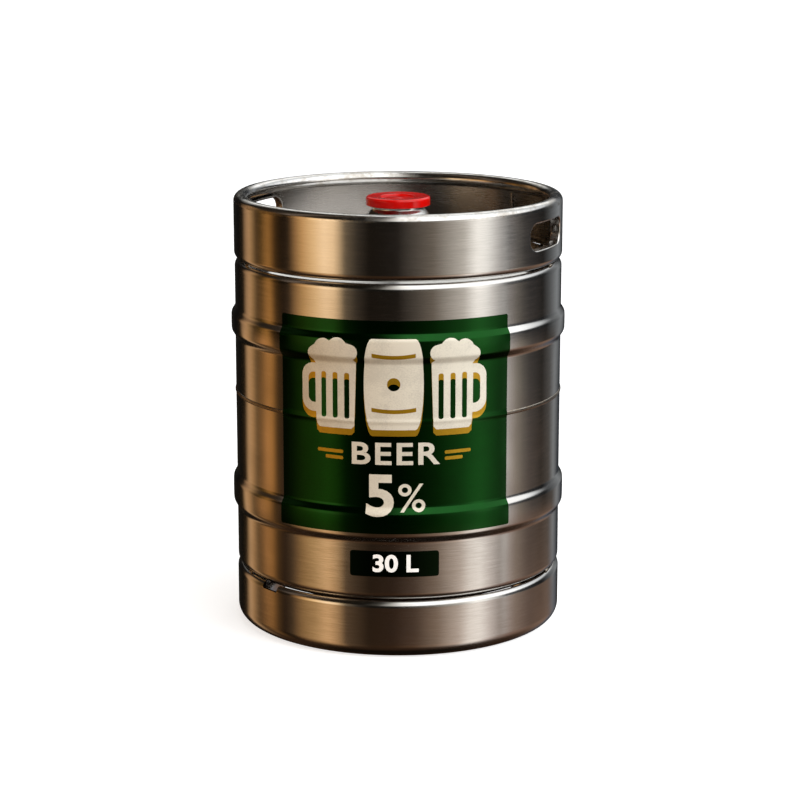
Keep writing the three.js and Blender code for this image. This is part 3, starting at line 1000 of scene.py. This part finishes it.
class KEG_OT_welds(KegOperator, bpy.types.Operator):
    """Build the girth weld, the two chime welds with their stitches, the neck weld and the seams"""

    bl_idname = "keg.welds"
    bl_label = "Welds"

    def build(self, v, c):
        self.girth(v)
        self.chime_welds(v)
        self.neck(v)
        self.seams(c)

    def girth(self, v):
        z, body = v["girth_weld"], v["body_radius"]
        sunk, crown, half = 0.45, 1.15, 2.1
        turn = np.linspace(-1.57, 1.57, 13)
        bulge = [(body - sunk + crown * math.cos(a), z + half * math.sin(a)) for a in turn]
        outline = [(body - v["sheet"], z - 1.2)] + bulge + [(body - v["sheet"], z + 1.2)]
        weld_ring("girth_weld_bead", outline, body, 2.9, 0.01, ["girth_weld"])

    def chime_welds(self, v):
        section = (
            (155.9, 9.2), (157.3, 8.6), (157.9, 8.7), (158.2, 9.1), (157.9, 9.6), (157.3, 10.1), (156, 10.4))
        for node, shoulder, side in (
                ("top_chime_weld", v["upper_shoulder"], 1), ("bottom_chime_weld", v["lower_shoulder"], -1)):
            outline = [(r, shoulder + side * rise) for r, rise in section[::side]]
            # the beads sit deep in the groove and are drawn nearly black as painted shade
            weld_ring(node + "_bead", outline, 158, 3.3, 0.02, [node], finish="groove_shade_black")
            for number, azimuth in enumerate((-67, 69, 113, 247), start=1):
                centre = (162.5, shoulder + side * 7.5)
                stitch(f"{node}_stitch_{number}", azimuth, centre, (4.2, 1.7, 1.9))

    def neck(self, v):
        outline = join(
            [(33.75, 410.95), (37.3, 410.6)],
            arc((34.6, 411.1), 2.6, 0, 78, 8),
            [(33.75, 413.9)])
        weld_ring("neck_weld_bead", outline, 36, 2.4, 0.22, ["neck_weld"], sides=720)

    def seams(self, c):
        for node in ("top_chime_seam", "bottom_chime_seam"):
            low, high = box_mm(node)
            x, y, z = (low + high) / 2
            azimuth = math.degrees(math.atan2(x, -y))
            radii = (2.4, (high[2] - low[2]) / 2, 0.7)
            stitch(node + "_bead", azimuth, (c["radius"] - 3.35, z), radii, [node])


class KEG_OT_neck(KegOperator, bpy.types.Operator):
    """Build the forged neck that holds the spear"""

    bl_idname = "keg.neck"
    bl_label = "Neck"

    def build(self, v, c):
        corners = [
            (20.5, 409), (33.5, 409), (33.5, 416.3), (31.6, 417.2), (31, 418.6), (28, 422.4), (27, 424.2),
            (27, 427), (29.4, 428.2), (29.6, 431.7), (28.8, 432.5), (24.8, 432.5), (24, 431.7), (24, 426.9),
            (25.6, 426.9), (25.6, 424.4), (24, 424.4), (24, 414.5), (20.5, 414.5),
        ]
        turned("neck_forging", rounded(corners, 0.8), 144, "polished", "keg_body", "neck_socket")


class KEG_OT_spear(KegOperator, bpy.types.Operator):
    """Build the fixed parts of the spear: housing, O-ring, retaining ring and spring retainer"""

    bl_idname = "keg.spear"
    bl_label = "Spear"

    def build(self, v, c):
        self.housing()
        self.rings()

    def housing(self):
        sides, degrees_per_side = 120, 3
        radius, bore = 20, 18
        cage_low, cage_high, rows = 354.0, 406.0, 20
        heights = np.linspace(cage_low, cage_high, rows + 1)
        head = rounded([
            (radius, 412), (radius, 417.9), (23.7, 417.9), (23.7, 424.1), (20.6, 424.1), (19.2, 422),
            (19.2, 415), (13.5, 413.2), (13, 412.4), (13, 411), (bore, 411), (bore, 410.4)], 0.5, 3)
        foot = rounded([
            (bore, 350), (bore, 346.7), (15.8, 346.7), (15.8, 344), (radius, 344), (radius, 350)], 0.5, 3)
        outer = [(radius, z) for z in heights]
        inner = [(bore, z) for z in heights[::-1]]
        outer_rows = (0, rows)
        inner_rows = (rows + 1 + len(head), rows + 1 + len(head) + rows)
        reach = 12
        middles = [azimuth // degrees_per_side for azimuth in (30, 150, 270)]
        spans = [(middle - reach, middle + reach) for middle in middles]
        columns = {i % sides for span in spans for i in range(*span)}
        skip = block_of_cells(columns, outer_rows, inner_rows)
        bm, grid = revolve(outer + head + inner + foot, sides, skip=skip)
        for span in spans:
            hole = {
                "azimuth": sum(span) / 2 * degrees_per_side, "level": 380, "width": 14, "height": 42,
                "corner": 6, "radius": radius, "sheet": 1, "lip": 1.5, "edge": 0.4,
            }
            wall_window(bm, grid, span, outer_rows, inner_rows, hole)
        finish_object(
            "spear_housing_body", bm, ["polished"] * 3, "keg_body", ["spear_housing"])

    def rings(self):
        low, high = box_mm("housing_o_ring")
        section = arc((22, (low[2] + high[2]) / 2), (high[2] - low[2]) / 2, 0, 345, 23)
        turned("o_ring", section, 144, "rubber", "keg_body", "housing_o_ring")

        outline = rounded([(22.4, 424.7), (25.2, 424.7), (25.2, 426.5), (22.4, 426.5)], 0.3, 3)
        gap = (34, 42)
        bm, grid = revolve(outline, 144, skip=block_of_cells(range(*gap), (0, len(outline))))
        for i in gap:
            bm.faces.new(grid[i])
        finish_object("snap_ring", bm, ["spring"], "keg_body", ["retaining_ring"])

        seat = rounded([(9.2, 347.1), (17.6, 347.1), (17.6, 350.1), (9.2, 350.1)], 0.5)
        turned("spring_seat_ring", seat, 120, "polished", "keg_body", "spring_retainer")


class KEG_OT_valves(KegOperator, bpy.types.Operator):
    """Build the moving valve parts: the rubber seal, the dip tube with its cup, and the ball"""

    bl_idname = "keg.valves"
    bl_label = "Valves"

    def build(self, v, c):
        seal = [
            (8.6, 405.3), (16.6, 405.3), (16.6, 409.6), (15.8, 410.7), (12.4, 410.7), (11.8, 413),
            (9.6, 413), (8.6, 411.6)]
        turned("valve_seal_rubber", rounded(seal, 0.6), 128, "rubber", "gas_valve", "gas_valve_seal")

        tube = [
            (6.9, 36), (8, 36), (8, 366), (13.5, 373), (13.5, 402.9), (16.6, 402.9), (16.6, 405),
            (12.2, 405), (12.2, 374), (6.9, 367.2)]
        turned("dip_tube", rounded(tube, 1.2, 6), 96, "polished", "gas_valve", "down_tube")

        low, high = box_mm("beer_valve_ball")
        radius = (high[2] - low[2]) / 2
        outline = arc((0, (low[2] + high[2]) / 2), radius, -90, 90, 48)
        outline[0], outline[-1] = (0, outline[0][1]), (0, outline[-1][1])
        turned("valve_ball", outline, 96, "polished", "beer_valve", "beer_valve_ball")


class KEG_OT_springs(KegOperator, bpy.types.Operator):
    """Build the two coil springs of the gas and beer valves"""

    bl_idname = "keg.springs"
    bl_label = "Springs"

    def build(self, v, c):
        coils = (
            ("gas_spring", "gas_valve_slide", "keg_body", {"radius": 15.4, "wire": 0.9, "turns": 6.5}, 8),
            ("beer_spring", "beer_valve_slide", "gas_valve", {"radius": 8.4, "wire": 0.6, "turns": 5.5}, 5),
        )
        for node, joint, body, coil, travel in coils:
            low, high = box_mm(node)
            coil["bottom"], coil["top"] = low[2] + coil["wire"], high[2] - coil["wire"]
            piece = sweep_coil(node + "_coil", coil, body, node)
            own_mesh(piece)


class KEG_OT_cap(KegOperator, bpy.types.Operator):
    """Build the red transit cap"""

    bl_idname = "keg.cap"
    bl_label = "Transit cap"

    def build(self, v, c):
        top, edge, low = CAP_HIGH[2], CAP_HIGH[0], CAP_LOW[2]
        under = 433.0
        below = [(0.0, under)] + line((0.01, under), (20.6, under), 4)[1:]
        plug = rounded(
            [(21, under + 0.01), (21, 428.6), (22.8, 428.6), (22.8, under), (30.2, under)], 0.5, 3)[4:]
        skirt = join(
            [(30.2, under - 0.6), (30.2, low + 0.7)],
            arc((30.9, low + 0.7), 0.7, 180, 270, 4),
            arc((edge - 0.9, low + 0.9), 0.9, -90, 0, 5),
            line((edge, low + 0.9), (edge, top - 2.6), 1.2),
            arc((edge - 2.6, top - 2.6), 2.6, 0, 90, 12),
            [(29.2, top - 0.05), (27.5, top - 0.2), (24, top - 0.42), (20.5, top - 0.5)],
            [(18.4, top - 0.62)],
            arc((18.1, top - 1.4), 0.75, 80, 180, 6),
            [(17.1, top - 1.9), (16.4, top - 2.15), (14, top - 2.05), (9, top - 1.8), (4.2, top - 1.65)],
            [(3.6, top - 1.5), (2.6, top - 1.45), (1.2, top - 1.45), (0.0, top - 1.45)])
        turned("transit_cap", join(below, plug, skirt), 192, "cap", "cap", "dust_cap")


def mug():
    """A drinking mug, 55 wide and 90 tall: foam, handle to the right, three cut flutes"""
    foam = arc((-20, 76), 8, 250, 95, 8) + arc((-8, 80), 10, 150, 60, 8) + arc((6, 79), 9.5, 130, 20, 8)
    foam += arc((15, 73), 7.5, 60, -60, 8)
    handle = arc((19, 50), 12.5, 90, 0, 8) + arc((19, 27), 12.5, 0, -90, 8)
    corners = foam + [(16, 62.5)] + handle + [(16, 14.5), (15, 3), (12, 0), (-21, 0), (-24, 3), (-26, 66)]
    hole = arc((18.5, 47.5), 6, 90, 0, 6) + arc((18.5, 29.5), 6, 0, -90, 6)
    hole = [(16.6, 53.5)] + hole + [(16.4, 23.5)]
    half = 2.6
    flutes = [
        rounded([(x - half, 10), (x + half, 10), (x + half, 55), (x - half, 55)], half)
        for x in (-16.5, -4.5, 7.5)]
    return [corners, hole] + flutes


def cask():
    """A small cask, 58 wide and 90 tall, with two hoops and a bung"""
    end, swell, middle, bung_radius = 21, 8, 45, 6.5
    curve = math.pi * np.linspace(-0.5, 0.5, 15)
    right = [(end + swell * math.cos(a), middle + middle * math.sin(a)) for a in curve]
    edge = right + [(-x, y) for x, y in right[::-1]]

    def hoop(level, sag):
        half = end + swell * math.cos(math.pi * (level - middle) / (2 * middle)) - 4.5
        xs = np.linspace(-half, half, 9)
        lower = [(x, level - 2 - sag * (1 - (x / half) ** 2)) for x in xs]
        upper = [(x, level + 2 - sag * (1 - (x / half) ** 2)) for x in xs[::-1]]
        return lower + upper

    round_the_bung = np.linspace(0, 2 * math.pi, 24, endpoint=False)
    bung = [(bung_radius * math.cos(a), middle + bung_radius * math.sin(a)) for a in round_the_bung]
    return [edge, hoop(20, 2), hoop(74, 2), bung]


def label_ground(v, half_angle, low, high, corner):
    """The film of a label: a round-cornered rectangle"""
    half = math.radians(half_angle) * v["body_radius"]
    return flat_shape([rounded([(-half, low), (half, low), (half, high), (-half, high)], corner)])


class KEG_OT_main_label(KegOperator, bpy.types.Operator):
    """Wrap the main label and print its emblem, bars and lettering"""

    bl_idname = "keg.main_label"
    bl_label = "Main label"

    def build(self, v, c):
        low = MAIN_LOW[2]
        ground = label_ground(v, 41.3, low, MAIN_HIGH[2], 2.2)

        def lay(name, shape, layer, finish, replaced=()):
            wrap(name, shape, v, -1.4, layer, finish, replaced)

        def emblem(level):
            spots = ((-62.5, True, mug), (0, False, cask), (62.5, False, mug))
            return merged([moved(flat_shape(shape()), x, level, mirror) for x, mirror, shape in spots])

        emblem_foot, drop = low + 103, 6.2
        lay("main_label_film", ground, FILM, "green", ["main_label"])
        lay("emblem_drop_edge", emblem(emblem_foot - drop), UNDER_INK, "gold")
        lay("emblem", emblem(emblem_foot), OVER_INK, "cream")
        name = moved(flat_text("BEER", 22, 0.02, 1.14), 2, low + 79.4, stretch=1.2)
        lay("beer_lettering", name, INK, "cream")
        digit = moved(flat_text("5", 41.5, 0.03), -13.5, low + 38, stretch=1.1)
        sign = moved(flat_text("%", 28, 0.005), 17.5, low + 35.6, stretch=1.05)
        lay("strength_lettering", merged([digit, sign]), INK, "cream")
        lay("gold_bars", self.bars(low), INK, "gold")

    def bars(self, low):
        """Two bars either side of the lettering, the lower one shorter, rising a little outwards"""
        rise, thick, inner = 0.4, 3.4, 50
        bars = []
        for mirror in (True, False):
            for outer, level in ((77, 78.2), (68.5, 72)):
                top = level + thick
                corners = [(inner, level), (outer, level + rise), (outer, level + rise + thick), (inner, top)]
                bars.append(moved(flat_shape([rounded(corners, 1.6)]), 0, low, mirror))
        return merged(bars)


class KEG_OT_volume_label(KegOperator, bpy.types.Operator):
    """Wrap the volume label and print its lettering"""

    bl_idname = "keg.volume_label"
    bl_label = "Volume label"

    def build(self, v, c):
        azimuth = -1.2
        low, high = VOLUME_LOW[2], VOLUME_HIGH[2]
        ground = label_ground(v, 15.2, low, high, 3)
        wrap("volume_label_film", ground, v, azimuth, FILM, "dark", ["volume_label"])
        words = moved(flat_text("30 L", 18, 0.03), 1.2, (low + high) / 2 + 0.7, stretch=1.09)
        wrap("volume_lettering", words, v, azimuth, INK, "white")


# The studio as brushed steel shows it, by direction round the keg in degrees from the front: warm
# windows and dark drapes on the left, a wide white screen on the right.
WALL_LIGHT = (
    (-180, "#1C1B19"), (-150, "#0A0908"), (-139, "#14100B"), (-133, "#7E6044"), (-127, "#97734F"),
    (-122, "#7C5E3C"), (-116, "#3E2D1A"), (-110, "#38280F"), (-101, "#7E5628"), (-95, "#2E1E0C"),
    (-89, "#0F0A05"), (-81, "#120D08"), (-75, "#86603A"), (-69, "#B48856"), (-60, "#D8B07E"),
    (-52, "#EDCAA0"), (-45, "#E4C196"), (-41, "#B69A76"), (-37, "#5E5242"), (-28, "#2C2823"),
    (-20, "#100E0B"), (0, "#0E0D0A"), (24, "#5A534B"), (46, "#A8A39B"), (56, "#ECE8E2"),
    (63, "#E2DFDA"), (72, "#AEABA8"), (82, "#4C4C4D"), (98, "#242425"), (122, "#141414"),
    (150, "#6A6C6E"), (166, "#1C1D1E"),
)
# Just below, the left shows a window's edge and the screen reaches further round on the right.
MIDDLE_LIGHT = (
    (-180, "#1C1814"), (-150, "#0B0A08"), (-139, "#191209"), (-132, "#A07C56"), (-126, "#926C46"),
    (-119, "#5A4228"), (-113, "#74502E"), (-106, "#A47040"), (-100, "#9A6836"), (-94, "#44301A"),
    (-87, "#33241A"), (-79, "#5A4632"), (-70, "#86683F"), (-50, "#A27E50"), (-44, "#86663F"),
    (-37, "#3A2C1C"), (-20, "#120E0A"), (0, "#14110D"), (14, "#28231D"), (28, "#544A40"),
    (46, "#8E867E"), (60, "#B4ADA6"), (76, "#8E8A84"), (81, "#BEBCB7"), (86, "#A89F98"),
    (92, "#827A6E"), (99, "#5F5A53"), (106, "#433F3C"), (122, "#24221F"), (136, "#3C3834"),
    (146, "#68696A"), (160, "#24262A"),
)
# Lower down, wood and carpet tint the same light brown.
LOW_LIGHT = (
    (-180, "#1C1712"), (-150, "#0A0907"), (-139, "#1C150D"), (-131, "#9C7A58"), (-126, "#836342"),
    (-117, "#3A2A1A"), (-103, "#5C3F22"), (-90, "#170F08"), (-81, "#1E150C"), (-74, "#5E4229"),
    (-62, "#84633F"), (-52, "#B2875C"), (-44, "#94704C"), (-37, "#4A3828"), (-20, "#2A1D12"),
    (-4, "#301F13"), (12, "#4A3424"), (28, "#766050"), (44, "#AB9789"), (52, "#D9CDC3"),
    (60, "#DFD4CB"), (69, "#AFA098"), (78, "#7A6A62"), (92, "#6E574C"), (112, "#5E4A3E"),
    (135, "#6A5548"), (152, "#4A4C52"), (166, "#1C1712"),
)
# High up, the ceiling is dark on the left and lit from the front round to the back on the right.
OVERHEAD = (
    (-180, "#1C1B19"), (-168, "#E2E2E0"), (-156, "#8A8884"), (-144, "#14110D"), (-98, "#241E18"),
    (-86, "#5E5248"), (-74, "#2A2119"), (-58, "#16110B"), (-26, "#0F0D0A"), (-14, "#3A3732"),
    (-4, "#A5A29C"), (6, "#F2F0EC"), (16, "#FFFFFF"), (96, "#FFFFFF"), (118, "#D2D4D6"),
    (140, "#A8AAAC"), (156, "#F4F4F2"), (170, "#C4C4C2"),
)


def studio_world():
    """Screens and drapes round the keg as seen in its steel; the camera sees plain paper"""
    world = bpy.data.worlds.new("Studio")
    bpy.context.scene.world = world
    world.use_nodes = True
    tree = world.node_tree
    tree.nodes.clear()
    looking = add(tree, "ShaderNodeTexCoord").outputs["Generated"]
    way = add(tree, "ShaderNodeSeparateXYZ", links={0: looking})
    back = add(tree, "ShaderNodeMath", {1: -1.0}, {0: way.outputs["Y"]}, operation="MULTIPLY")
    turn = add(tree, "ShaderNodeMath", links={0: way.outputs["X"], 1: back.outputs[0]}, operation="ARCTAN2")
    place = add(tree, "ShaderNodeMapRange", {"From Min": -math.pi, "From Max": math.pi},
                {"Value": turn.outputs[0]}).outputs["Result"]

    def ring(stops):
        ramp = add(tree, "ShaderNodeValToRGB", links={"Fac": place})
        elements = ramp.color_ramp.elements
        while len(elements) < len(stops):
            elements.new(0.5)
        for element, (azimuth, code) in zip(elements, stops):
            element.position = (azimuth + 180) / 360
            element.color = linear(code)
        return ramp.outputs["Color"]

    def between(low, high):
        return spread(tree, way.outputs["Z"], math.sin(math.radians(low)), math.sin(math.radians(high)))

    lower = blend(tree, between(-17.5, -15.5), ring(LOW_LIGHT), ring(MIDDLE_LIGHT))
    walls = blend(tree, between(-12.5, -10.5), lower, ring(WALL_LIGHT))
    ground = blend(tree, between(-50, -24), linear("#24170E"), walls)
    pit = blend(tree, between(-75, -50), linear("#0C0805"), ground)
    dome = blend(tree, between(14, 25), pit, ring(OVERHEAD))
    lamps = add(tree, "ShaderNodeBackground", {"Strength": 1.9}, {"Color": dome})
    paper = add(tree, "ShaderNodeBackground", {"Color": linear("#FDFDFC"), "Strength": 1.0})
    seen = add(tree, "ShaderNodeLightPath").outputs["Is Camera Ray"]
    mix = add(tree, "ShaderNodeMixShader", links={0: seen, 1: lamps.outputs[0], 2: paper.outputs[0]})
    add(tree, "ShaderNodeOutputWorld", links={"Surface": mix.outputs[0]})


def soft_box(name, azimuth, elevation, power, tint, width):
    """A lamp for the matt surfaces and the floor; the steel mirrors the studio round it instead"""
    distance, middle_of_keg = 1.7, 0.22
    data = bpy.data.lights.new(name, "AREA")
    data.energy = power
    data.color = linear(tint)[:3]
    data.shape = "RECTANGLE"
    data.size, data.size_y = width, 1.2
    holder = bpy.data.objects.new(name, data)
    a, e = math.radians(azimuth), math.radians(elevation)
    away = np.array([math.sin(a) * math.cos(e), -math.cos(a) * math.cos(e), math.sin(e)])
    holder.location = away * distance + np.array([0, 0, middle_of_keg])
    holder.rotation_euler = (math.pi / 2 - e, 0, a)
    holder.visible_camera = False
    holder.visible_glossy = False
    bpy.context.scene.collection.objects.link(holder)


class KEG_OT_stage(KegOperator, bpy.types.Operator):
    """Set up the floor, the lamps, the reflected studio and the camera"""

    bl_idname = "keg.stage"
    bl_label = "Stage"

    def build(self, v, c):
        scene = bpy.context.scene
        scene.view_settings.view_transform = "Standard"
        s = sizes_mm(scene.keg_studio)
        self.floor(scene)
        studio_world()
        soft_box("key_box", 50, 24, s["key_power"], "#FFFFFF", 0.8)
        soft_box("warm_box", -66, 22, s["warm_power"], "#FFD09A", 0.6)
        data = bpy.data.cameras.new("product_camera")
        data.lens = s["lens"]
        data.sensor_width = 36
        camera = bpy.data.objects.new("product_camera", data)
        camera.location = (0.002, -s["camera_distance"] * MM, s["camera_height"] * MM)
        camera.rotation_euler = (math.radians(90 - s["camera_pitch"]), 0, 0)
        scene.collection.objects.link(camera)
        scene.camera = camera

    def floor(self, scene):
        bm = bmesh.new()
        rings = [0.6 * 1.7 ** i for i in range(10)]
        centre = bm.verts.new((0, 0, 0))
        previous = None
        for radius in rings:
            ring = [bm.verts.new(on_ring(2 * math.pi * i / 64, radius / MM, 0)) for i in range(64)]
            if previous:
                bridge(bm, previous, ring, 0)
            else:
                for i in range(64):
                    bm.faces.new([centre, ring[i], ring[(i + 1) % 64]])
            previous = ring
        bmesh.ops.recalc_face_normals(bm, faces=bm.faces)
        mesh = bpy.data.meshes.new("studio_floor")
        bm.to_mesh(mesh)
        bm.free()
        mesh.materials.append(studio_vinyl(scene.keg_studio.floor))
        floor = bpy.data.objects.new("studio_floor", mesh)
        floor.location.z = -0.0002
        floor.visible_glossy = False
        floor.visible_diffuse = False
        floor.visible_shadow = False
        scene.collection.objects.link(floor)


OPERATORS = (
    KEG_OT_shells, KEG_OT_chimes, KEG_OT_welds, KEG_OT_neck, KEG_OT_spear, KEG_OT_valves,
    KEG_OT_springs, KEG_OT_cap, KEG_OT_main_label, KEG_OT_volume_label, KEG_OT_stage,
)


class KEG_PT_panel(bpy.types.Panel):
    """The keg's building steps and settings"""

    bl_idname = "KEG_PT_panel"
    bl_label = "Steel beer keg"
    bl_space_type = "VIEW_3D"
    bl_region_type = "UI"
    bl_category = "Keg"

    def draw(self, context):
        for operator in OPERATORS:
            self.layout.operator(operator.bl_idname)
        for name, settings in SETTINGS.items():
            box = self.layout.box()
            for prop in settings.__annotations__:
                box.prop(getattr(context.scene, name), prop)


def register():
    for cls in (*SETTINGS.values(), *OPERATORS, KEG_PT_panel):
        bpy.utils.register_class(cls)
    for name, settings in SETTINGS.items():
        setattr(bpy.types.Scene, name, bpy.props.PointerProperty(type=settings))


def unregister():
    for name in SETTINGS:
        delattr(bpy.types.Scene, name)
    for cls in (KEG_PT_panel, *reversed(OPERATORS), *reversed(SETTINGS.values())):
        bpy.utils.unregister_class(cls)


def main():
    register()
    for operator in OPERATORS:
        group, step = operator.bl_idname.split(".")
        getattr(getattr(bpy.ops, group), step)()


if __name__ == "__main__":
    main()
